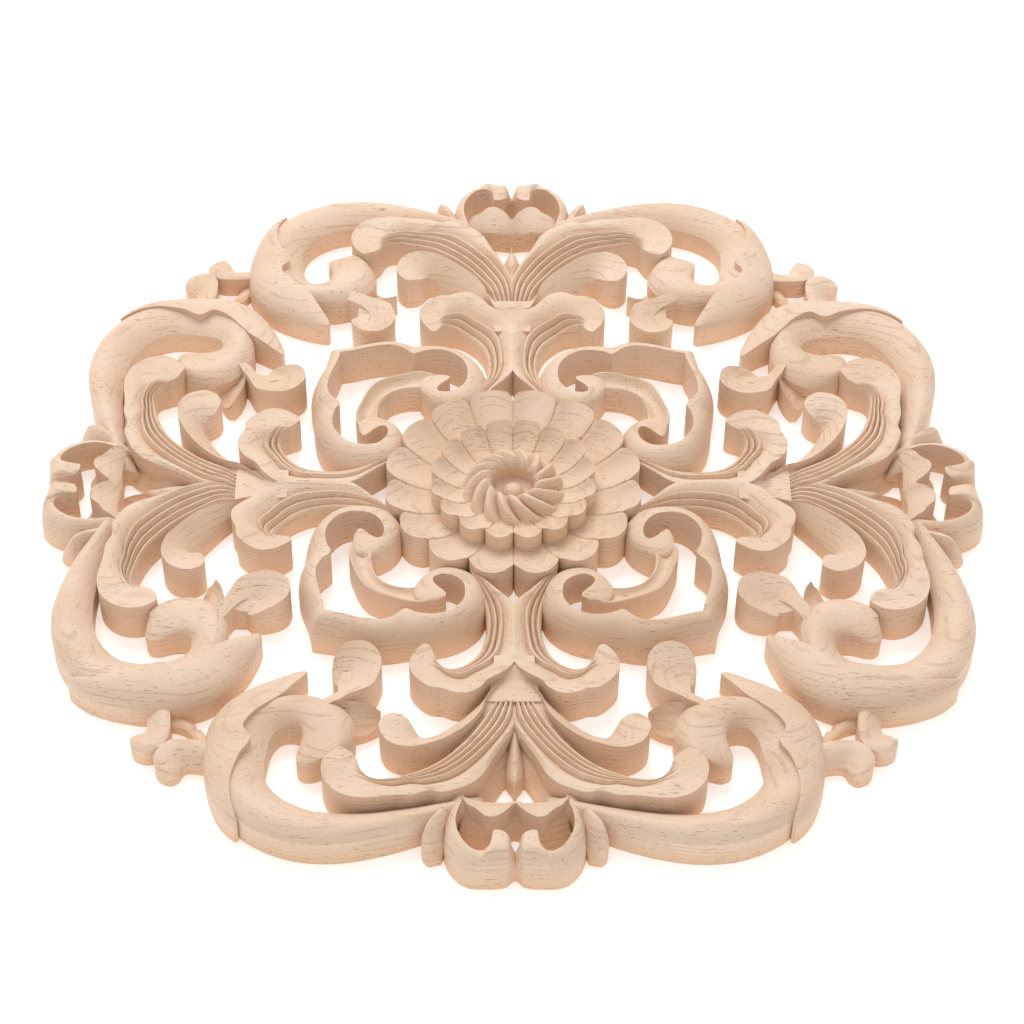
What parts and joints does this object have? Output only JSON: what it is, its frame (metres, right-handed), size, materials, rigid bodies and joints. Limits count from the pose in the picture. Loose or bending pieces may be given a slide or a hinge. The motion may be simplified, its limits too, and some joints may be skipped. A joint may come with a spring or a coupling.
{
  "type": "wood applique",
  "caption": "Round pierced rosette applique in raw wood: a flower in the middle, arms of curling leaves, ogee bands and a ring of scrolls round the edge, with a flat back for gluing",
  "frame": {"origin": "Middle of the flat back, on the surface it is glued to", "axes": "+Z points out of the carved face, +X and +Y along two neighbouring arms; the grain of the wood runs along X"},
  "size_m": [0.2996, 0.2996, 0.015],
  "materials": {
    "wood": "raw, sanded rubberwood"
  },
  "bodies": {
    "root": {"applique": "wood"}
  },
  "joints": []
}
